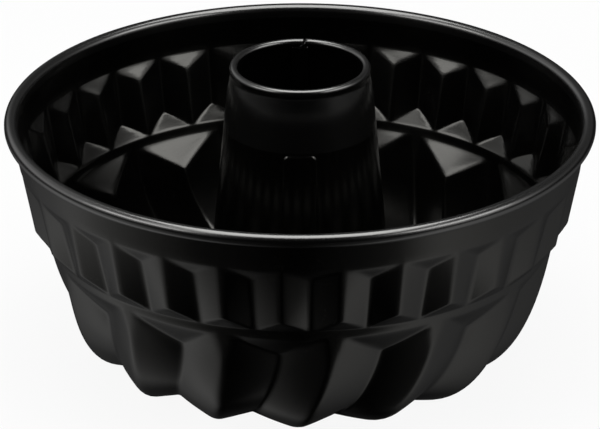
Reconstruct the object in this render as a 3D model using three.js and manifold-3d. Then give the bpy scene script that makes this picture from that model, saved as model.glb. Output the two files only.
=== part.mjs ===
import * as THREE from 'three';
import { mergeVertices } from 'three/addons/utils/BufferGeometryUtils.js';
import Module from 'manifold-3d';

// Fluted tube pan of coated sheet steel: a pressed shell with a wired rim, and a rolled centre tube
// whose foot is folded round the shell's neck. Millimetres, +Z up, base on z = 0, front at -Y.

// Overall sizes
const rimDiameter = 220;
const rimHeight = 96;
const tubeHeight = 115;
const sheet = 0.7;
const seatGap = 0.3;

// Rolled rim: the sheet goes round a wire, outside the wall
const beadDiameter = 5;
const beadWrap = 310;

// Collar, pleats and band, from the middle of the rim down
const collarHeight = 13;
const collarDraft = 2.3;
const wallDraft = 10.4;
const pleatHeight = 27.7;
const pleatTopDepth = 1.6;
const pleatEndDepth = 2.6;
const pleatTopFacet = 5.3;
const pleatEndFacet = 7;
const bandHeight = 3.5;

// Swirled flutes between the band and the base, with their crests in line with every second pleat
const fluteCount = 15;
const pleatsPerFlute = 2;
const fluteDepth = 4.6;
const fluteFacet = 12;
const crestLean = 15.6;
const crestUpperPull = 32;
const crestLowerPull = 18.6;
const crestFlat = 2.4;
const crestBearing = 8.3;
const facetLead = 0.8;

// Turn of the flutes, in degrees, clockwise seen from above as they go down
const startTurn = 1;
const fluteTurn = 11;
const turnGrowth = 1.7;
const valleyLead = 2.5;

// Base: flat lands under the crests, then the floor rises to a ring and a neck turned down
const landOuterDiameter = 126;
const landInnerDiameter = 112;
const landFlat = 5;
const footPull = 7;
const ringHeight = 7.6;
const neckBend = 1;
const neckEdgeHeight = 2.4;

// Centre tube: a cone with a drawn-in shoulder, a curl at the top and a hem at the foot
const tubeFootDiameter = 72;
const tubeShoulderDiameter = 55;
const tubeMouthDiameter = 51.4;
const shoulderHeight = 11;
const curlDiameter = 3;
const curlReach = 0.4;
const curlStart = -50;
const curlWrap = 300;
const hemHeight = 3;
const seamLap = 6;
const seamNotch = 0.8;
const seamNotchLean = 35;

// Facets
const fluteRows = 6;
const footRows = 4;
const bendRows = 2;
const beadRows = 8;
const beadInnerRows = 6;
const wireSides = 6;
const tubeSides = 40;
const hemRows = 3;
const shoulderRows = 3;
const curlRows = 7;

const toRadians = THREE.MathUtils.degToRad;
const mix = THREE.MathUtils.lerp;

function point(radius, height) {
  return new THREE.Vector2(radius, height);
}

// Points on a circle from one angle to another, ends included
function arcPoints(centre, radius, fromDegrees, toDegrees, rows) {
  const points = [];
  for (let row = 0; row <= rows; row += 1) {
    const angle = toRadians(mix(fromDegrees, toDegrees, row / rows));
    points.push(point(centre.x + radius * Math.cos(angle), centre.y + radius * Math.sin(angle)));
  }
  return points;
}

// Normal on the right of a path that runs from a to b
function rightNormal(a, b) {
  const along = b.clone().sub(a).normalize();
  return point(along.y, -along.x);
}

// A path moved sideways to its right, with mitred corners
function offsetPath(path, distance) {
  return path.map((here, index) => {
    const before = path[Math.max(index - 1, 0)];
    const after = path[Math.min(index + 1, path.length - 1)];
    const first = index > 0 ? rightNormal(before, here) : rightNormal(here, after);
    const second = index < path.length - 1 ? rightNormal(here, after) : first;
    const mitre = first.clone().add(second).normalize();
    return here.clone().addScaledVector(mitre, distance / mitre.dot(first));
  });
}

// Wall of the shell, as points on its outer face below the middle of the rim
const beadRadius = beadDiameter / 2;
const beadMiddle = point(rimDiameter / 2 - beadRadius, rimHeight - beadRadius);
const collarTaper = Math.tan(toRadians(collarDraft));
const wallTaper = Math.tan(toRadians(wallDraft));
const wallTopRadius = beadMiddle.x - beadRadius + sheet;

function wallAt(drop, depth = 0) {
  const collarDrop = Math.min(drop, collarHeight);
  const radius = wallTopRadius - collarDrop * collarTaper - (drop - collarDrop) * wallTaper;
  return point(radius - depth, beadMiddle.y - drop);
}

const pleatEnd = collarHeight + pleatHeight;
const bandTop = wallAt(pleatEnd, pleatEndDepth);
const bandEnd = wallAt(pleatEnd + bandHeight, pleatEndDepth);

// Neck round the tube's foot
const tubeFootRadius = tubeFootDiameter / 2;
const neckRadius = tubeFootRadius + seatGap + sheet;
const bendCentre = point(neckRadius + neckBend, ringHeight - neckBend);

// Crest of a flute from the band to its land, and on from the land to the ring
const crestPull = point(-Math.sin(toRadians(crestLean)), -Math.cos(toRadians(crestLean)));
const crestCurve = new THREE.CubicBezierCurve(
  bandEnd,
  bandEnd.clone().addScaledVector(crestPull, crestUpperPull),
  point(landOuterDiameter / 2 + crestLowerPull, 0),
  point(landOuterDiameter / 2, 0),
);
const footCurve = new THREE.CubicBezierCurve(
  point(landInnerDiameter / 2, 0),
  point(landInnerDiameter / 2 - footPull, 0),
  point(bendCentre.x + footPull, ringHeight),
  point(bendCentre.x, ringHeight),
);

// Point inside a curve by a depth, towards the filling
function insideOf(curve, share, depth) {
  const along = curve.getTangentAt(share);
  return curve.getPointAt(share).add(point(along.y * depth, -along.x * depth));
}

// Turn at a share of the crest's length, going on at a steady rate past its end
function turnAt(share) {
  const growth = share < 1 ? share ** turnGrowth : 1 + turnGrowth * (share - 1);
  return startTurn + fluteTurn * growth;
}

// A row of the shell: the points on its crests and valleys, the pitch that they repeat at and their turn
const flutePitch = 360 / fluteCount;
const pleatPitch = flutePitch / pleatsPerFlute;
const crestHalf = THREE.MathUtils.radToDeg(crestFlat / 2 / wallTopRadius);
const landHalf = THREE.MathUtils.radToDeg(landFlat / landOuterDiameter);

function plainRow(place, turn = 0) {
  return { crest: place, valley: place, pitch: flutePitch, turn, lead: 0, half: crestHalf };
}

function pleatRow(crest, valley) {
  return { crest, valley, pitch: pleatPitch, turn: 0, lead: 0, half: crestHalf };
}

function fluteRow(crest, valley, share, turn) {
  const half = mix(crestHalf, landHalf, share ** 2);
  return { crest, valley, pitch: flutePitch, turn, lead: valleyLead * share, half };
}

// Outer face of the shell from the rim down to the neck's edge
function outsideRows() {
  const valleyTop = wallAt(collarHeight + pleatTopFacet, pleatTopDepth);
  const valleyEnd = valleyTop.clone().lerp(bandTop, 1 - facetLead / (valleyTop.y - bandTop.y));
  const rows = [
    plainRow(wallAt(0)),
    plainRow(wallAt(collarHeight)),
    pleatRow(wallAt(collarHeight + facetLead), valleyTop),
    pleatRow(wallAt(pleatEnd - pleatEndFacet), valleyEnd),
    plainRow(bandTop),
    plainRow(bandEnd, startTurn),
  ];
  const length = crestCurve.getLength();
  for (let row = 0; row <= fluteRows; row += 1) {
    const share = row / fluteRows;
    const crest = crestCurve.getPointAt(mix(facetLead / length, 1, share));
    const valley = insideOf(crestCurve, mix(fluteFacet / length, 1, share), fluteDepth);
    rows.push(fluteRow(crest, valley, share, turnAt(share)));
  }
  const landLength = (landOuterDiameter - landInnerDiameter) / 2;
  const footLength = footCurve.getLength();
  for (let row = 0; row < footRows; row += 1) {
    const share = row / footRows;
    const valley = insideOf(footCurve, share, fluteDepth * (1 - share) ** 2);
    const turn = turnAt(1 + (landLength + share * footLength) / length);
    rows.push(fluteRow(footCurve.getPointAt(share), valley, 1, turn));
  }
  const neckTurn = turnAt(1 + (landLength + footLength) / length);
  const neck = arcPoints(bendCentre, neckBend, 90, 180, bendRows);
  neck.push(point(neckRadius, neckEdgeHeight));
  neck.forEach((place) => rows.push({ ...plainRow(place, neckTurn), half: landHalf }));
  return rows;
}

// The same rows on the inner face, one sheet further in
function insideRows(rows) {
  const crests = offsetPath(rows.map((row) => row.crest), sheet);
  const valleys = offsetPath(rows.map((row) => row.valley), sheet);
  return rows.map((row, index) => (
    { ...row, crest: crests[index], valley: valleys[index], inner: true }
  ));
}

// Share of the way from crest to valley at an angle from a crest
function valleyShare(angle, pitch, half) {
  const turn = THREE.MathUtils.euclideanModulo(angle, pitch);
  const fromCrest = Math.min(turn, pitch - turn);
  return THREE.MathUtils.clamp((fromCrest - half) / (pitch / 2 - 2 * half), 0, 1);
}

// Columns of the shell: both edges of each pleat's crest and the valley after it
const columns = [];
for (let pleat = 0; pleat < fluteCount * pleatsPerFlute; pleat += 1) {
  columns.push({ middle: pleat * pleatPitch, side: -1 });
  columns.push({ middle: pleat * pleatPitch, side: 1 });
  columns.push({ middle: (pleat + 0.5) * pleatPitch, side: 0 });
}

// A closed ring through all rows, which follow each other round its section. Each face is split from
// the valley above to the crest below, on both sides of the sheet alike.
function ringGeometry(rows) {
  const positions = [];
  const faces = [];
  rows.forEach((row, rowIndex) => {
    const nextRow = (rowIndex + 1) % rows.length;
    columns.forEach((column, index) => {
      const angle = column.middle + column.side * row.half;
      const share = valleyShare(angle, row.pitch, row.half);
      const place = row.crest.clone().lerp(row.valley, share);
      const bearing = toRadians(crestBearing - 90 + angle - row.turn - row.lead * share);
      positions.push(place.x * Math.cos(bearing), place.x * Math.sin(bearing), place.y);
      const nextColumn = (index + 1) % columns.length;
      const here = rowIndex * columns.length;
      const below = nextRow * columns.length;
      if ((column.side === 0) === Boolean(row.inner)) {
        faces.push(here + index, below + index, here + nextColumn);
        faces.push(here + nextColumn, below + index, below + nextColumn);
      } else {
        faces.push(here + index, below + index, below + nextColumn);
        faces.push(here + index, below + nextColumn, here + nextColumn);
      }
    });
  });
  const geometry = new THREE.BufferGeometry();
  geometry.setAttribute('position', new THREE.Float32BufferAttribute(positions, 3));
  geometry.setIndex(faces);
  geometry.computeVertexNormals();
  return geometry;
}

function shellGeometry() {
  const outside = outsideRows();
  const inside = insideRows(outside).reverse();
  const beadEnd = 180 - beadWrap;
  const beadOutside = arcPoints(beadMiddle, beadRadius, 180, beadEnd, beadRows).slice(1);
  const beadInside = arcPoints(beadMiddle, beadRadius - sheet, beadEnd, 180, beadInnerRows).slice(0, -1);
  const bead = [...beadOutside, ...beadInside].map((place) => plainRow(place));
  return ringGeometry([...outside, ...inside, ...bead]);
}

function wireGeometry() {
  const wireRadius = beadRadius - sheet - seatGap;
  const section = arcPoints(beadMiddle, wireRadius, 180, -180, wireSides).slice(0, -1);
  return ringGeometry(section.map((place) => plainRow(place)));
}

// Middle line of the tube's sheet: hem, wall, shoulder and curl
function tubePath() {
  const half = sheet / 2;
  const innerLeg = tubeFootRadius - half;
  const outerLeg = neckRadius + seatGap + half;
  const hemMiddle = point((innerLeg + outerLeg) / 2, neckEdgeHeight);
  const curlRadius = curlDiameter / 2;
  const curlMiddle = point(tubeMouthDiameter / 2 + curlReach - curlRadius, tubeHeight - curlRadius);
  const mouth = point(tubeMouthDiameter / 2 - half, tubeHeight - curlDiameter);
  const shoulder = point(tubeShoulderDiameter / 2 - half, mouth.y - shoulderHeight);
  const foot = point(innerLeg, ringHeight + sheet);
  const coneTaper = (foot.x - shoulder.x) / (shoulder.y - foot.y);
  const bend = point(shoulder.x - coneTaper * shoulderHeight / 2, shoulder.y + shoulderHeight / 2);
  return [
    point(outerLeg, neckEdgeHeight + hemHeight),
    ...arcPoints(hemMiddle, (outerLeg - innerLeg) / 2, 0, -180, hemRows),
    foot,
    ...new THREE.QuadraticBezierCurve(shoulder, bend, mouth).getPoints(shoulderRows),
    ...arcPoints(curlMiddle, curlRadius - half, curlStart, curlStart + curlWrap, curlRows),
  ];
}

// A solid of revolution round Z from a closed section
function revolve(section, sides) {
  const geometry = new THREE.LatheGeometry([...section, section[0]], sides);
  geometry.rotateX(Math.PI / 2);
  return geometry;
}

const wasm = await Module();
wasm.setup();
const weldDistance = 1e-4;

function toSolid(geometry) {
  geometry.deleteAttribute('normal');
  geometry.deleteAttribute('uv');
  const merged = mergeVertices(geometry, weldDistance);
  const vertProperties = new Float32Array(merged.attributes.position.array);
  const triVerts = new Uint32Array(merged.index.array);
  return new wasm.Manifold(new wasm.Mesh({ numProp: 3, vertProperties, triVerts }));
}

function toGeometry(solid) {
  const mesh = solid.getMesh();
  const geometry = new THREE.BufferGeometry();
  geometry.setAttribute('position', new THREE.BufferAttribute(new Float32Array(mesh.vertProperties), 3));
  geometry.setIndex(new THREE.BufferAttribute(new Uint32Array(mesh.triVerts), 1));
  geometry.computeVertexNormals();
  return geometry;
}

// Lap of the tube's seam: a second layer of sheet along the bore at the back, from the foot to the shoulder
function lapGeometry(path) {
  const wall = path.slice(hemRows + 2, hemRows + 3 + shoulderRows);
  const lapDepth = sheet / 2 + sheet;
  const lapFace = wall.map((place) => point(place.x - lapDepth, place.y));
  const shape = new THREE.Shape([...wall, ...lapFace.reverse()]);
  const lap = new THREE.ExtrudeGeometry(shape, { depth: seamLap, bevelEnabled: false });
  lap.translate(0, 0, -seamLap / 2);
  lap.rotateX(Math.PI / 2);
  lap.rotateZ(Math.PI / 2);
  return lap;
}

// Slanting slit where the ends of the curl meet, cut by a blade that reaches past the curl
function notchGeometry() {
  const bladeReach = 4 * curlDiameter;
  const notch = new THREE.BoxGeometry(seamNotch, bladeReach, bladeReach);
  notch.translate(0, 0, bladeReach / 2);
  notch.rotateY(toRadians(seamNotchLean));
  notch.translate(0, tubeMouthDiameter / 2, tubeHeight - curlDiameter);
  return notch;
}

function tubeGeometry() {
  const path = tubePath();
  const section = [...offsetPath(path, sheet / 2), ...offsetPath(path, -sheet / 2).reverse()];
  const tube = toSolid(revolve(section, tubeSides));
  return toGeometry(tube.add(toSolid(lapGeometry(path))).subtract(toSolid(notchGeometry())));
}

const coating = new THREE.MeshStandardMaterial({ color: 0x1d1c1c, roughness: 0.42, metalness: 0.2 });
const wireSteel = new THREE.MeshStandardMaterial({ color: 0x8c8d8f, roughness: 0.35, metalness: 1 });

function piece(name, geometry, material) {
  const mesh = new THREE.Mesh(geometry, material);
  mesh.name = name;
  return mesh;
}

const pan = new THREE.Group();
pan.add(piece('fluted_shell', shellGeometry(), coating));
pan.add(piece('centre_tube', tubeGeometry(), coating));
pan.add(piece('rim_wire', wireGeometry(), wireSteel));

export default pan;
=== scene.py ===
import math

import bmesh
import bpy
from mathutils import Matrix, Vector


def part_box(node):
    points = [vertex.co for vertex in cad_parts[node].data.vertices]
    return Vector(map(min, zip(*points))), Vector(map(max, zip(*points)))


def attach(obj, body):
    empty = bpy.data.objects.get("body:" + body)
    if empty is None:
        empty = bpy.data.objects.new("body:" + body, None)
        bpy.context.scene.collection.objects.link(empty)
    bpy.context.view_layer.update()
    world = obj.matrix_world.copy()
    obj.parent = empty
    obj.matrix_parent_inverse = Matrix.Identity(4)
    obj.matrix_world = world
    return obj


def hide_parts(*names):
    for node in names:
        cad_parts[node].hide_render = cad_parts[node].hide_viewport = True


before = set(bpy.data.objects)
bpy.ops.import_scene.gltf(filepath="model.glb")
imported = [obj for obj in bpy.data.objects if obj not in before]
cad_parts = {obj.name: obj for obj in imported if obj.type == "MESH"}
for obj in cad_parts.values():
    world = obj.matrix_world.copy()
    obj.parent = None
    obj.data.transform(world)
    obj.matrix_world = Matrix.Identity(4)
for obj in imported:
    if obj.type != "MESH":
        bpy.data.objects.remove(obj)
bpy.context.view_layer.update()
mm = 0.001
shellLow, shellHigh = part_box("fluted_shell")
tubeLow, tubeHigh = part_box("centre_tube")
print("frame loaded:", ", ".join(sorted(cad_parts)))


# Small helpers for sheet metal outlines, all in millimetres

def mix(a, b, share):
    return a + (b - a) * share


def softMin(a, b, soft):  # the lesser of two, with a rounded corner where they cross
    if soft <= 0:
        return min(a, b)
    near = max(soft - abs(a - b), 0)
    return min(a, b) - near * near / (4 * soft)


def softMax(a, b, soft):
    return -softMin(-a, -b, soft)


def eased(rows):  # shares from 0 to 1 that crowd at both ends, without the first
    return [(1 - math.cos(math.pi * row / rows)) / 2 for row in range(1, rows + 1)]


def even(rows):
    return [row / rows for row in range(1, rows + 1)]


def arcPoint(centre, radius, degrees):
    angle = math.radians(degrees)
    return Vector((centre.x + radius * math.cos(angle), centre.y + radius * math.sin(angle)))


def bezierRun(a, b, c, d, steps=240):  # a curve that is followed by its length
    def place(t):
        u = 1 - t
        return a * u ** 3 + b * 3 * u * u * t + c * 3 * u * t * t + d * t ** 3

    def heading(t):
        u = 1 - t
        return ((b - a) * u * u + (c - b) * 2 * u * t + (d - c) * t * t).normalized()

    lengths = [0]
    for step in range(steps):
        lengths.append(lengths[-1] + (place((step + 1) / steps) - place(step / steps)).length)

    def at(distance):
        step = 0
        while step < steps - 1 and lengths[step + 1] < distance:
            step += 1
        part = (distance - lengths[step]) / (lengths[step + 1] - lengths[step])
        t = min(max((step + part) / steps, 0), 1)
        return place(t), heading(t)

    return at, lengths[-1]


def makePiece(name, bm, material, node=None):
    mesh = bpy.data.meshes.new(name)
    bm.to_mesh(mesh)
    bm.free()
    mesh.shade_smooth()
    mesh.materials.append(material)
    piece = bpy.data.objects.new(name, mesh)
    bpy.context.scene.collection.objects.link(piece)
    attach(piece, "root")
    if node:
        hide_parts(node)
    return piece


def faceOut(bm):  # the face that lies lowest looks down
    bmesh.ops.recalc_face_normals(bm, faces=bm.faces)
    lowest = min(bm.faces, key=lambda face: face.calc_center_median().z)
    if lowest.normal.z > 0:
        bmesh.ops.reverse_faces(bm, faces=bm.faces)


def thicken(piece, sheet, offset):
    solidify = piece.modifiers.new("sheet", "SOLIDIFY")
    solidify.thickness = sheet * mm
    solidify.offset = offset
    solidify.use_even_offset = True


# Materials

def linked(tree, *pairs):
    for source, target in pairs:
        tree.links.new(source, target)


def noiseNode(tree, coords, scale, detail, roughness):
    noise = tree.nodes.new("ShaderNodeTexNoise")
    noise.inputs["Scale"].default_value = scale
    noise.inputs["Detail"].default_value = detail
    noise.inputs["Roughness"].default_value = roughness
    linked(tree, (coords, noise.inputs["Vector"]))
    return noise.outputs["Fac"]


def rangeNode(tree, value, fromLow, fromHigh, toLow, toHigh):
    ranged = tree.nodes.new("ShaderNodeMapRange")
    ranged.inputs["From Min"].default_value = fromLow
    ranged.inputs["From Max"].default_value = fromHigh
    ranged.inputs["To Min"].default_value = toLow
    ranged.inputs["To Max"].default_value = toHigh
    linked(tree, (value, ranged.inputs["Value"]))
    return ranged.outputs["Result"]


def mathNode(tree, operation, a, b):
    node = tree.nodes.new("ShaderNodeMath")
    node.operation = operation
    linked(tree, (a, node.inputs[0]), (b, node.inputs[1]))
    return node.outputs[0]


def makeCoatGroup():  # sprayed film: fine grain, sparse flecks and a slow drift of its gloss
    group = bpy.data.node_groups.new("sprayedFilm", "ShaderNodeTree")
    face = group.interface
    face.new_socket("Coords", in_out="INPUT", socket_type="NodeSocketVector")
    face.new_socket("Film", in_out="INPUT", socket_type="NodeSocketColor")
    face.new_socket("Fleck", in_out="INPUT", socket_type="NodeSocketColor")
    face.new_socket("Gloss", in_out="INPUT", socket_type="NodeSocketFloat")
    face.new_socket("Color", in_out="OUTPUT", socket_type="NodeSocketColor")
    face.new_socket("Roughness", in_out="OUTPUT", socket_type="NodeSocketFloat")
    face.new_socket("Height", in_out="OUTPUT", socket_type="NodeSocketFloat")
    start = group.nodes.new("NodeGroupInput")
    end = group.nodes.new("NodeGroupOutput")
    grain = noiseNode(group, start.outputs["Coords"], **coating["grain"])
    fleck = noiseNode(group, start.outputs["Coords"], **coating["flecks"])
    drift = noiseNode(group, start.outputs["Coords"], **coating["drift"])
    fleckMask = rangeNode(group, fleck, *coating["fleckEdges"], 0, 1)
    tone = group.nodes.new("ShaderNodeMix")
    tone.data_type = "RGBA"
    linked(group, (fleckMask, tone.inputs["Factor"]), (start.outputs["Film"], tone.inputs["A"]),
           (start.outputs["Fleck"], tone.inputs["B"]), (tone.outputs["Result"], end.inputs["Color"]))
    wander = rangeNode(group, drift, *noiseSpan, -coating["driftSwing"], coating["driftSwing"])
    pitted = rangeNode(group, grain, *noiseSpan, -coating["grainSwing"], coating["grainSwing"])
    gloss = mathNode(group, "ADD", mathNode(group, "ADD", start.outputs["Gloss"], wander), pitted)
    linked(group, (gloss, end.inputs["Roughness"]), (grain, end.inputs["Height"]))
    return group


def makeRimGroup():  # a mask of the two rolled rims, where the film shines more
    group = bpy.data.node_groups.new("rubbedRims", "ShaderNodeTree")
    group.interface.new_socket("Coords", in_out="INPUT", socket_type="NodeSocketVector")
    group.interface.new_socket("Rims", in_out="OUTPUT", socket_type="NodeSocketFloat")
    start = group.nodes.new("NodeGroupInput")
    end = group.nodes.new("NodeGroupOutput")
    axes = group.nodes.new("ShaderNodeSeparateXYZ")
    linked(group, (start.outputs["Coords"], axes.inputs[0]))
    squares = [mathNode(group, "MULTIPLY", axes.outputs[axis], axes.outputs[axis]) for axis in "XY"]
    spread = mathNode(group, "ADD", *squares)
    outerRim = rangeNode(group, axes.outputs["Z"], shellHigh.z - coating["outerRim"] * mm,
                         shellHigh.z - (coating["outerRim"] - coating["rimFade"]) * mm, 0, 1)
    innerRim = rangeNode(group, axes.outputs["Z"], tubeHigh.z - coating["innerRim"] * mm,
                         tubeHigh.z - (coating["innerRim"] - coating["rimFade"]) * mm, 0, 1)
    reaches = [(reach * mm) ** 2 for reach in coating["tubeReaches"]]
    onTube = rangeNode(group, spread, *reaches, 1, 0)
    rims = mathNode(group, "MAXIMUM", outerRim, mathNode(group, "MULTIPLY", innerRim, onTube))
    linked(group, (rims, end.inputs["Rims"]))
    return group


noiseSpan = (0.3, 0.7)   # nearly all values of a noise lie between these
coating = {
    "film": (0.0003, 0.00028, 0.00026, 1),
    "fleck": (0.003, 0.0029, 0.0027, 1),
    "gloss": 0.2,
    "grain": {"scale": 2600, "detail": 2, "roughness": 0.6},
    "flecks": {"scale": 1300, "detail": 1, "roughness": 0.4},
    "drift": {"scale": 38, "detail": 3, "roughness": 0.55},
    "fleckEdges": (0.64, 0.74),
    "driftSwing": 0.02,  # how far the drift and the grain change the gloss
    "grainSwing": 0.03,
    "grainHeight": 0.004,
    "grainStrength": 0.15,
    "index": 1.5,
    "tint": (1, 0.985, 0.93, 1),
    "outerRim": 5,       # height of the outer rim, and of the tube's
    "innerRim": 3,
    "rimFade": 0.5,
    "rimRoughness": 0.26,
    "rimIndex": 1.6,
    "tubeReaches": (30, 31.5),  # radii past the tube's rim, where its mask ends
}


def makeCoating(group, rimGroup):
    material = bpy.data.materials.new("blackCoating")
    material.use_nodes = True
    tree = material.node_tree
    shader = tree.nodes["Principled BSDF"]
    coords = tree.nodes.new("ShaderNodeTexCoord")
    film = tree.nodes.new("ShaderNodeGroup")
    film.node_tree = group
    film.inputs["Film"].default_value = coating["film"]
    film.inputs["Fleck"].default_value = coating["fleck"]
    film.inputs["Gloss"].default_value = coating["gloss"]
    rims = tree.nodes.new("ShaderNodeGroup")
    rims.node_tree = rimGroup
    bump = tree.nodes.new("ShaderNodeBump")
    bump.inputs["Strength"].default_value = coating["grainStrength"]
    bump.inputs["Distance"].default_value = coating["grainHeight"] * mm
    linked(tree, (coords.outputs["Object"], film.inputs["Coords"]),
           (film.outputs["Color"], shader.inputs["Base Color"]),
           (film.outputs["Roughness"], shader.inputs["Roughness"]),
           (film.outputs["Height"], bump.inputs["Height"]),
           (bump.outputs["Normal"], shader.inputs["Normal"]),
           (coords.outputs["Object"], rims.inputs["Coords"]),
           (rims.outputs["Rims"], shader.inputs["Coat Weight"]))
    shader.inputs["Coat Roughness"].default_value = coating["rimRoughness"]
    shader.inputs["Coat IOR"].default_value = coating["rimIndex"]
    shader.inputs["IOR"].default_value = coating["index"]
    shader.inputs["Specular Tint"].default_value = coating["tint"]
    return material


wire = {
    "marks": {"scale": 600, "detail": 3, "roughness": 0.5},
    "tones": ((0.30, 0.29, 0.28, 1), (0.52, 0.52, 0.52, 1)),
    "gloss": (0.28, 0.44),
}


def makeWireSteel():
    material = bpy.data.materials.new("drawnWire")
    material.use_nodes = True
    tree = material.node_tree
    shader = tree.nodes["Principled BSDF"]
    shader.inputs["Metallic"].default_value = 1
    coords = tree.nodes.new("ShaderNodeTexCoord")
    drawn = noiseNode(tree, coords.outputs["Object"], **wire["marks"])
    ramp = tree.nodes.new("ShaderNodeValToRGB")
    for element, tone in zip(ramp.color_ramp.elements, wire["tones"]):
        element.color = tone
    linked(tree, (drawn, ramp.inputs["Fac"]), (ramp.outputs["Color"], shader.inputs["Base Color"]),
           (rangeNode(tree, drawn, *noiseSpan, *wire["gloss"]), shader.inputs["Roughness"]))
    return material


blackCoating = makeCoating(makeCoatGroup(), makeRimGroup())
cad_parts["rim_wire"].data.materials.clear()
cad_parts["rim_wire"].data.materials.append(makeWireSteel())
print("materials ready")


# Fluted shell: a plain bowl is spun, and then its collar, pleats, band and flutes are pressed in

shell = {
    "sheet": 0.7,
    "beadRadius": 2.5,
    "beadWrap": 310,
    "collar": 13,
    "collarDraft": 2.3,
    "draft": 10.4,
    "pleats": 30,
    "pleatHeight": 27.7,
    "pleatTopDepth": 2.35,
    "pleatEndDepth": 3.85,
    "pleatTopFacet": 5.3,
    "pleatEndFacet": 5.5,
    "band": 3.5,
    "flutes": 15,
    "fluteTopDepth": 5.5,
    "fluteDepth": 4.6,
    "fluteFacet": 12.0,
    "crestLean": 9.5,
    "crestPulls": (36.5, 16.4),
    "crestBearing": 8.3,
    "crestHalf": 0.75,   # half of a crest's flat, which its rounding takes up
    "crestRunOut": 3.0,  # the same for a flute's crest, where it runs out into the band
    "runOutShare": 0.2,
    "valleyHalf": 0.55,
    "landHalf": 1.5,
    "crestSoft": 1.4,    # largest reach of a crest's rounding
    "startTurn": 1,
    "fluteTurn": 11,
    "turnGrowth": 1.7,
    "valleyLead": 2.5,
    "landRadii": (63, 56),
    "footPull": 7,
    "ringHeight": 7.6,
    "neckRadius": 37,
    "neckBend": 1,
    "neckEdge": 2.4,
    "facetLead": 2.0,
    "edgeSoft": 0.35,    # depth over which two facets run into each other
    "rampSoft": 1.0,
    "fluteSoft": 1.5,
    "columnsPerPleat": 16,
    "crowding": 0.4,     # how much the columns crowd at crests and valleys
}
zoneRows = {"curl": even(18), "collar": eased(6), "pleatTop": eased(4), "pleat": eased(10),
            "pleatEnd": eased(4), "band": eased(5), "fluteTop": eased(7), "flute": even(24),
            "land": even(4), "foot": even(8), "bend": even(4), "neck": even(2)}

rimRadius = min(shellHigh.x, shellHigh.y) / mm
rimTop = shellHigh.z / mm
beadMiddle = Vector((rimRadius - shell["beadRadius"], rimTop - shell["beadRadius"]))
wallTop = beadMiddle.x - shell["beadRadius"] + shell["sheet"]
collarTaper = math.tan(math.radians(shell["collarDraft"]))
wallTaper = math.tan(math.radians(shell["draft"]))
pleatEnd = shell["collar"] + shell["pleatHeight"]
bandEnd = pleatEnd + shell["band"]
landOuter, landInner = shell["landRadii"]
bendCentre = Vector((shell["neckRadius"] + shell["neckBend"], shell["ringHeight"] - shell["neckBend"]))


def wallAt(drop, depth):
    below = softMax(drop - shell["collar"], 0, shell["rampSoft"])
    radius = wallTop - drop * collarTaper - below * (wallTaper - collarTaper)
    return Vector((radius - depth, beadMiddle.y - drop))


crestStart = wallAt(bandEnd, shell["pleatEndDepth"])
crestLean = math.radians(shell["crestLean"])
crestAt, crestLength = bezierRun(
    crestStart,
    crestStart + Vector((-math.sin(crestLean), -math.cos(crestLean))) * shell["crestPulls"][0],
    Vector((landOuter + shell["crestPulls"][1], 0)),
    Vector((landOuter, 0)))
footAt, footLength = bezierRun(
    Vector((landInner, 0)),
    Vector((landInner - shell["footPull"], 0)),
    Vector((bendCentre.x + shell["footPull"], shell["ringHeight"])),
    Vector((bendCentre.x, shell["ringHeight"])))


def valleyShare(angle, pitch, radius, crestHalf):  # 0 on a crest, 1 in a valley, both rounded
    turned = angle % pitch
    fromCrest = math.radians(min(turned, pitch - turned)) * radius
    width = math.radians(pitch / 2) * radius - crestHalf - shell["valleyHalf"]
    climb = (fromCrest - crestHalf) / width
    rounded = softMax(climb, 0, min(crestHalf, shell["crestSoft"]) / width)
    return softMin(rounded, 1, shell["valleyHalf"] / width)


def pleatDepth(drop, share):
    collar, soft = shell["collar"], shell["edgeSoft"]
    valleyPart = (drop - collar - shell["pleatTopFacet"]) / (shell["pleatHeight"] - shell["pleatTopFacet"])
    side = mix(shell["pleatTopDepth"], shell["pleatEndDepth"], valleyPart) * share
    top = softMax(drop - collar, 0, shell["rampSoft"]) * shell["pleatTopDepth"] / shell["pleatTopFacet"]
    end = (drop - pleatEnd + shell["pleatEndFacet"]) * shell["pleatEndDepth"] / shell["pleatEndFacet"]
    pleat = softMax(softMin(side, top, min(soft, top)), end, soft)
    return softMin(pleat, shell["pleatEndDepth"], soft)


def fluteDepth(run, share):  # starts in a fillet on the band, above the flute itself
    deep = mix(shell["fluteTopDepth"], shell["fluteDepth"], max(run, 0) / crestLength)
    ramp = softMax(run, 0, shell["fluteSoft"]) * shell["fluteTopDepth"] / shell["fluteFacet"]
    return softMin(deep * share, ramp, min(shell["edgeSoft"] * 2, ramp))


def fluteCrest(along):
    runOut = max(1 - along / shell["runOutShare"], 0) ** 2
    return mix(mix(shell["crestHalf"], shell["landHalf"], along ** 2), shell["crestRunOut"], runOut)


def wallPoint(zone, part, angle):
    pitch = 360 / shell["pleats"]
    share = valleyShare(angle, pitch, wallTop, shell["crestHalf"])
    facetTop = shell["collar"] + mix(shell["facetLead"], shell["pleatTopFacet"], share)
    facetEnd = pleatEnd - mix(shell["pleatEndFacet"], shell["facetLead"], share)
    limits = {"collar": (0, shell["collar"]), "pleatTop": (shell["collar"], facetTop),
              "pleat": (facetTop, facetEnd), "pleatEnd": (facetEnd, pleatEnd), "band": (pleatEnd, bandEnd)}
    drop = mix(*limits[zone], part)
    turn = shell["startTurn"] * max(drop - pleatEnd, 0) / shell["band"]
    fluteShare = valleyShare(angle, 360 / shell["flutes"], crestStart.x, fluteCrest(0))
    return wallAt(drop, pleatDepth(drop, share) + fluteDepth(drop - bandEnd, fluteShare)), turn


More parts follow.
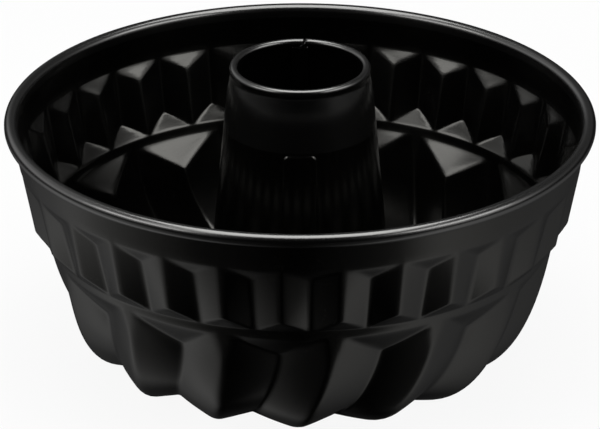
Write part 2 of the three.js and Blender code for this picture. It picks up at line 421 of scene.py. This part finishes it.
def flutePoint(zone, part, angle):
    pitch = 360 / shell["flutes"]
    along = part if zone == "flute" else 0
    radius = mix(crestStart.x, landOuter, along)
    share = valleyShare(angle, pitch, radius, fluteCrest(along))
    facetEnd = mix(shell["facetLead"], shell["fluteFacet"], share)
    run = mix(0, facetEnd, part) if zone == "fluteTop" else mix(facetEnd, crestLength, part)
    place, heading = crestAt(run)
    turn = shell["startTurn"] + shell["fluteTurn"] * along ** shell["turnGrowth"]
    turn += shell["valleyLead"] * along * share
    return place + Vector((heading.y, -heading.x)) * fluteDepth(run, share), turn


def basePoint(zone, part, angle):
    pitch = 360 / shell["flutes"]
    past = (landOuter - landInner) * part if zone == "land" else landOuter - landInner + footLength * part
    share = valleyShare(angle, pitch, landOuter, shell["landHalf"])
    turn = shell["startTurn"] + shell["fluteTurn"] * (1 + shell["turnGrowth"] * past / crestLength)
    if zone == "land":
        place, heading, fade = Vector((mix(landOuter, landInner, part), 0)), Vector((-1, 0)), 1
    else:
        place, heading = footAt(footLength * part)
        fade = (1 - part) ** 2
    turn += shell["valleyLead"] * share * fade
    return place + Vector((heading.y, -heading.x)) * shell["fluteDepth"] * share * fade, turn


def rimPoint(zone, part, angle):
    if zone == "curl":
        curlRadius = shell["beadRadius"] - shell["sheet"]
        return arcPoint(beadMiddle, curlRadius, 180 - shell["beadWrap"] * (1 - part)), 0
    neckTurn = shell["startTurn"] + shell["fluteTurn"] * (
        1 + shell["turnGrowth"] * (landOuter - landInner + footLength) / crestLength)
    if zone == "bend":
        return arcPoint(bendCentre, shell["neckBend"], 90 + 90 * part), neckTurn
    return Vector((shell["neckRadius"], mix(bendCentre.y, shell["neckEdge"], part))), neckTurn


pressing = {"curl": rimPoint, "collar": wallPoint, "pleatTop": wallPoint, "pleat": wallPoint,
            "pleatEnd": wallPoint, "band": wallPoint, "fluteTop": flutePoint, "flute": flutePoint,
            "land": basePoint, "foot": basePoint, "bend": rimPoint, "neck": rimPoint}


def makeShell():
    stations = [("curl", 0)]
    for zone, parts in zoneRows.items():
        stations.extend((zone, part) for part in parts)
    bm = bmesh.new()
    stationOf = bm.verts.layers.int.new("station")
    outline = []
    for index, (zone, part) in enumerate(stations):
        place = pressing[zone](zone, part, 0)[0]
        vert = bm.verts.new((place.x, 0, place.y))
        vert[stationOf] = index
        outline.append(vert)
    edges = [bm.edges.new(pair) for pair in zip(outline, outline[1:])]
    columns = shell["pleats"] * shell["columnsPerPleat"]
    bmesh.ops.spin(bm, geom=outline + edges, cent=(0, 0, 0), axis=(0, 0, 1), angle=2 * math.pi,
                   steps=columns, use_merge=True)
    pleatPitch = 360 / shell["pleats"]
    for vert in bm.verts:
        zone, part = stations[vert[stationOf]]
        column = math.degrees(math.atan2(vert.co.y, vert.co.x)) / pleatPitch
        column -= shell["crowding"] * math.sin(4 * math.pi * column) / (4 * math.pi)
        angle = column * pleatPitch
        place, turn = pressing[zone](zone, part, angle)
        bearing = math.radians(shell["crestBearing"] - 90 + angle - turn)
        vert.co = Vector((place.x * math.cos(bearing), place.x * math.sin(bearing), place.y)) * mm
    faceOut(bm)
    print("shell spun:", columns, "columns by", len(stations), "rows")
    piece = makePiece("pressed_shell", bm, blackCoating, "fluted_shell")
    thicken(piece, shell["sheet"], -1)


makeShell()


# Centre tube: a rolled cone with a hem at its foot, a curl at its mouth and a lapped seam at the back

tube = {
    "sheet": 0.7,
    "seat": 0.3,
    "footRadius": 36,
    "shoulderRadius": 27.5,
    "mouthRadius": 25.7,
    "shoulder": 11,
    "curlRadius": 1.5,
    "curlReach": 0.4,
    "curlTurns": (-50, 250),
    "hem": 3,
    "lap": 6,
    "lapGap": 0.02,
    "slit": 0.8,
    "slitLean": 35,
    "slitRise": 0.1,     # how far above the wall's end the slit starts
    "panelWidth": 12.6,
    "panelTop": 90,
    "panelHeight": 36,
    "panelCorner": 2,
    "panelRaise": 0.45,
    "panelEdge": 1.0,    # width of the slope round the panel
    "panelCuts": 12,
    "columns": 144,
    "rows": {"hem": 8, "wall": 24, "shoulder": 8, "curl": 20},
}
tubeTop = tubeHigh.z / mm
panelCuts = [mix(-tube["panelCorner"], tube["panelEdge"], part) for part in [0] + even(tube["panelCuts"])]


def tubeOutline():
    half = tube["sheet"] / 2
    innerLeg = tube["footRadius"] - half
    outerLeg = shell["neckRadius"] + tube["seat"] + half
    hemMiddle = Vector(((innerLeg + outerLeg) / 2, shell["neckEdge"]))
    hemRadius = (outerLeg - innerLeg) / 2
    curlEdge = tube["mouthRadius"] + tube["curlReach"]
    curlMiddle = Vector((curlEdge - tube["curlRadius"], tubeTop - tube["curlRadius"]))
    mouth = Vector((tube["mouthRadius"] - half, tubeTop - 2 * tube["curlRadius"]))
    shoulder = Vector((tube["shoulderRadius"] - half, mouth.y - tube["shoulder"]))
    foot = Vector((innerLeg, shell["ringHeight"] + tube["sheet"]))
    taper = (foot.x - shoulder.x) / (shoulder.y - foot.y)
    bend = Vector((shoulder.x - taper * tube["shoulder"] / 2, shoulder.y + tube["shoulder"] / 2))
    panelEnd = tube["panelTop"] - tube["panelHeight"]
    rows = tube["rows"]
    heights = [mix(foot.y, shoulder.y, part) for part in [0] + even(rows["wall"])]
    heights += [tube["panelTop"] + cut for cut in panelCuts] + [panelEnd - cut for cut in panelCuts]
    outline = [Vector((outerLeg, shell["neckEdge"] + tube["hem"]))]
    outline += [arcPoint(hemMiddle, hemRadius, -180 * part) for part in [0] + even(rows["hem"])]
    outline += [Vector((foot.x - (height - foot.y) * taper, height)) for height in sorted(heights)]
    outline += [shoulder * (1 - part) ** 2 + bend * 2 * part * (1 - part) + mouth * part * part
                for part in even(rows["shoulder"])]
    outline += [arcPoint(curlMiddle, tube["curlRadius"] - half, mix(*tube["curlTurns"], part))
                for part in even(rows["curl"])]
    return outline


def facesWhere(bm, test):
    return [face for face in bm.faces if test(face.calc_center_median() / mm)]


def cutFaces(bm, faces, place, normal):
    parts = set(faces)
    for face in faces:
        parts.update(face.edges)
        parts.update(face.verts)
    bmesh.ops.bisect_plane(bm, geom=list(parts), dist=1e-7, plane_co=place * mm, plane_no=normal)


def pressPanel(bm):  # a plain raised panel on the front of the cone
    middle = tube["panelTop"] - tube["panelHeight"] / 2
    radius = mix(tube["footRadius"], tube["shoulderRadius"], middle / tubeTop)
    for side in (-1, 1):
        for cut in panelCuts:
            turn = side * (tube["panelWidth"] / 2 + cut) / radius
            front = facesWhere(bm, lambda place: place.y < 0 and abs(place.x) < tube["panelWidth"])
            cutFaces(bm, front, Vector(), Vector((math.cos(turn), math.sin(turn), 0)))
    corner, slope = tube["panelCorner"], tube["panelEdge"]
    for vert in bm.verts:
        place = vert.co / mm
        if place.y > 0 or abs(place.z - middle) > tube["panelHeight"] / 2 + slope:
            continue
        across = abs(math.atan2(place.x, -place.y)) * radius - tube["panelWidth"] / 2 + corner
        along = abs(place.z - middle) - tube["panelHeight"] / 2 + corner
        outside = math.hypot(max(across, 0), max(along, 0)) + min(max(across, along), 0) - corner
        climb = min(max(0.5 - outside / slope, 0), 1)
        raised = tube["panelRaise"] * climb * climb * (3 - 2 * climb)
        vert.co += Vector((place.x, place.y, 0)).normalized() * raised * mm


def lapSeam(bm):  # a second layer of sheet along the bore at the back
    halfLap, foot, mouth = tube["lap"] / 2, shell["ringHeight"], tubeTop - 2 * tube["curlRadius"]

    def onWall(reach):
        return facesWhere(bm, lambda place: place.y > 0 and abs(place.x) < reach
                          and foot < place.z < mouth and place.xy.length < tube["footRadius"])

    for side in (-1, 1):
        cutFaces(bm, onWall(2 * halfLap), Vector((side * halfLap, 0, 0)), Vector((1, 0, 0)))
    copy = bmesh.ops.duplicate(bm, geom=onWall(halfLap))["geom"]
    layer = [vert for vert in copy if isinstance(vert, bmesh.types.BMVert)]
    bmesh.ops.translate(bm, verts=layer, vec=Vector((0, -(tube["sheet"] + tube["lapGap"]), 0)) * mm)


def slitCurl(bm):  # the ends of the curl don't quite meet
    lean = math.radians(tube["slitLean"])
    across = Vector((math.cos(lean), 0, -math.sin(lean)))
    start = Vector((0, tube["mouthRadius"], tubeTop - 2 * tube["curlRadius"]))

    def nearSlit(reach):
        return facesWhere(bm, lambda place: place.y > 0 and place.z > start.z + tube["slitRise"]
                          and abs((place - start).dot(across)) < reach)

    for side in (-1, 1):
        cutFaces(bm, nearSlit(3 * tube["slit"]), start + across * (side * tube["slit"] / 2), across)
    bmesh.ops.delete(bm, geom=nearSlit(tube["slit"] / 2), context="FACES")


def makeTube():
    bm = bmesh.new()
    outline = [bm.verts.new((place.x * mm, 0, place.y * mm)) for place in tubeOutline()]
    edges = [bm.edges.new(pair) for pair in zip(outline, outline[1:])]
    bmesh.ops.spin(bm, geom=outline + edges, cent=(0, 0, 0), axis=(0, 0, 1), angle=2 * math.pi,
                   steps=tube["columns"], use_merge=True)
    faceOut(bm)
    pressPanel(bm)
    lapSeam(bm)
    slitCurl(bm)
    print("tube rolled:", len(bm.faces), "faces")
    piece = makePiece("rolled_tube", bm, blackCoating, "centre_tube")
    thicken(piece, tube["sheet"], 0)


makeTube()
print("pieces ready")


# Studio: a pale floor, a white surround, soft lamps and a ring of light that only reflections see

studio = {
    "floorSize": 6,
    "floorTone": (0.65, 0.65, 0.65, 1),
    "floorRoughness": 0.9,
    "floorGlow": 0.92,
    "fill": 0.1,
    "floorRing": {-180: 0.02, -160: 0.06, -145: 0.1, -122: 0.32, -104: 0.69, -75: 0.37, -45: 0.07, 0: 0,
                  41: 0.11, 53: 0.64, 62: 0.76, 90: 0.41, 110: 0.26, 135: 0.12, 150: 0.06, 180: 0.02},
    "wallRing": {-180: 0.03, -165: 0.06, -150: 0.2, -125: 0.31, -105: 0.37, -75: 0.36, -45: 0.1, -25: 0,
                 25: 0, 41: 0.08, 52: 0.4, 62: 0.56, 75: 0.56, 88: 0.46, 98: 0.2, 110: 0.08,
                 150: 0.03, 180: 0.03},
    "horizon": 0.03,
    "ringGains": {-90: 0.01, -80: 0.07, -72: 0.17, -62: 0.24, -48: 0.3, -20: 0.28, -10: 0.08, -3: 0.03,
                  3: 0.05, 8: 0.25, 12: 0.6, 18: 0.85, 24: 0.8, 34: 0.55, 48: 0.55, 58: 0.15, 90: 0.01},
    "ringLevel": 3.1,
    # size of the black disc of painted shadow under the pan, seen only in reflections
    "shadeRadius": 0.068,
    "shadeSegments": 48,
    "lamps": {
        "topLamp": {"place": (0, 0.05, 1.15), "aim": (0, 0.05, 0),
                    "size": (1.0, 1.0), "radiance": 5.3},
        "leftLamp": {"place": (-1.288, -0.574, 0.996), "aim": (0, 0, 0.08),
                     "size": (1.15, 0.5), "radiance": 3.7},
        "leftFill": {"place": (-0.848, -0.53, 1.36), "aim": (0, 0, 0.08),
                     "size": (0.63, 0.5), "radiance": 1.8},
        "rightLamp": {"place": (1.245, -0.607, 1.032), "aim": (0, 0, 0.08),
                      "size": (1.25, 0.5), "radiance": 3.7},
    },
}


def makeFloor():
    bm = bmesh.new()
    bmesh.ops.create_grid(bm, x_segments=2, y_segments=2, size=studio["floorSize"] / 2)
    mesh = bpy.data.meshes.new("floor")
    bm.to_mesh(mesh)
    bm.free()
    floor = bpy.data.objects.new("floor", mesh)
    bpy.context.scene.collection.objects.link(floor)
    material = bpy.data.materials.new("paleFloor")
    material.use_nodes = True
    tree = material.node_tree
    shader = tree.nodes["Principled BSDF"]
    shader.inputs["Base Color"].default_value = studio["floorTone"]
    shader.inputs["Roughness"].default_value = studio["floorRoughness"]
    shader.inputs["Specular IOR Level"].default_value = 0
    glow = tree.nodes.new("ShaderNodeEmission")
    blend = tree.nodes.new("ShaderNodeMixShader")
    seen = seenRays(tree, "Is Glossy Ray", "Is Transmission Ray")
    linked(tree, (rangeNode(tree, seen, 0, 1, 0, studio["floorGlow"]), blend.inputs["Fac"]),
           (shader.outputs["BSDF"], blend.inputs[1]), (glow.outputs["Emission"], blend.inputs[2]),
           (blend.outputs["Shader"], tree.nodes["Material Output"].inputs["Surface"]))
    mesh.materials.append(material)
    floor.visible_glossy = False


def makeShade():  # a black disc under the pan, a painted shadow: it stands in for the pan's own shadow on the floor, and only the pan's gloss sees it
    bm = bmesh.new()
    bmesh.ops.create_circle(bm, cap_ends=True, segments=studio["shadeSegments"],
                             radius=studio["shadeRadius"])
    bmesh.ops.translate(bm, verts=bm.verts, vec=(0, 0, -mm))
    mesh = bpy.data.meshes.new("under_shade")
    bm.to_mesh(mesh)
    bm.free()
    shade = bpy.data.objects.new("under_shade", mesh)
    bpy.context.scene.collection.objects.link(shade)
    material = bpy.data.materials.new("shade")
    material.use_nodes = True
    shader = material.node_tree.nodes["Principled BSDF"]
    shader.inputs["Base Color"].default_value = (0, 0, 0, 1)
    shader.inputs["Specular IOR Level"].default_value = 0
    mesh.materials.append(material)
    shade.visible_camera = False
    shade.visible_diffuse = False
    shade.visible_shadow = False


def seenRays(tree, *ways):  # 1 for what is seen directly or in one of these other ways
    path = tree.nodes.new("ShaderNodeLightPath")
    total = path.outputs["Is Camera Ray"]
    for way in ways:
        total = mathNode(tree, "MAXIMUM", total, path.outputs[way])
    return total


def rampNode(tree, value, tones):
    ramp = tree.nodes.new("ShaderNodeValToRGB")
    elements = ramp.color_ramp.elements
    elements.remove(elements[0])
    for index, (position, tone) in enumerate(tones.items()):
        element = elements[0] if index == 0 else elements.new(position)
        element.position = position
        element.color = (tone, tone, tone, 1)
    linked(tree, (value, ramp.inputs["Fac"]))
    return ramp.outputs["Color"]


def makeWorld():
    world = bpy.data.worlds.new("studio")
    bpy.context.scene.world = world
    world.use_nodes = True
    tree = world.node_tree
    background = tree.nodes["Background"]
    coords = tree.nodes.new("ShaderNodeTexCoord")
    axes = tree.nodes.new("ShaderNodeSeparateXYZ")
    linked(tree, (coords.outputs["Generated"], axes.inputs[0]))
    front = rangeNode(tree, axes.outputs["Y"], -1, 1, 1, -1)
    bearing = mathNode(tree, "ARCTAN2", axes.outputs["X"], front)
    # a ring of light round the pan with a dark gap at the front, dark straight below and dim above
    turned = rangeNode(tree, bearing, -math.pi, math.pi, 0, 1)
    rings = [rampNode(tree, turned, {(degrees + 180) / 360: tone for degrees, tone in studio[name].items()})
             for name in ("floorRing", "wallRing")]
    heights = {(math.sin(math.radians(degrees)) + 1) / 2: tone
               for degrees, tone in studio["ringGains"].items()}
    gain = rampNode(tree, rangeNode(tree, axes.outputs["Z"], -1, 1, 0, 1), heights)
    ring = tree.nodes.new("ShaderNodeMix")
    above = rangeNode(tree, axes.outputs["Z"], -studio["horizon"], studio["horizon"], 0, 1)
    linked(tree, (above, ring.inputs["Factor"]), (rings[0], ring.inputs["A"]), (rings[1], ring.inputs["B"]))
    around = mathNode(tree, "MULTIPLY", ring.outputs["Result"], gain)
    path = tree.nodes.new("ShaderNodeLightPath")
    glossy = tree.nodes.new("ShaderNodeMix")
    linked(tree, (path.outputs["Is Glossy Ray"], glossy.inputs["Factor"]),
           (rangeNode(tree, around, 0, 1, 0, studio["ringLevel"]), glossy.inputs["B"]))
    glossy.inputs["A"].default_value = studio["fill"]
    seen = tree.nodes.new("ShaderNodeMix")
    linked(tree, (seenRays(tree, "Is Transmission Ray"), seen.inputs["Factor"]),
           (glossy.outputs["Result"], seen.inputs["A"]),
           (seen.outputs["Result"], background.inputs["Strength"]))
    seen.inputs["B"].default_value = 1
    background.inputs["Color"].default_value = (1, 1, 1, 1)


def makeLamp(name, place, aim, size, radiance):
    data = bpy.data.lights.new(name, "AREA")
    data.shape = "RECTANGLE"
    data.size, data.size_y = size
    data.energy = radiance * math.pi * size[0] * size[1]
    lamp = bpy.data.objects.new(name, data)
    lamp.location = place
    lamp.rotation_euler = (Vector(aim) - Vector(place)).to_track_quat("-Z", "Y").to_euler()
    bpy.context.scene.collection.objects.link(lamp)


cameraView = {
    "place": (0, -1.3419, 0.67799),
    "tilt": 65.051,
    "focalPixels": 3936,
    "imageWidth": 600,
    "sensor": 36,
}


def makeCamera():
    data = bpy.data.cameras.new("camera")
    data.sensor_width = cameraView["sensor"]
    data.lens = cameraView["focalPixels"] / cameraView["imageWidth"] * cameraView["sensor"]
    camera = bpy.data.objects.new("camera", data)
    camera.location = cameraView["place"]
    camera.rotation_euler = (math.radians(cameraView["tilt"]), 0, 0)
    bpy.context.scene.collection.objects.link(camera)
    bpy.context.scene.camera = camera


makeFloor()
makeShade()
makeWorld()
for lampName, lampValues in studio["lamps"].items():
    makeLamp(lampName, **lampValues)
makeCamera()
bpy.context.scene.view_settings.view_transform = "Standard"
print("studio ready")
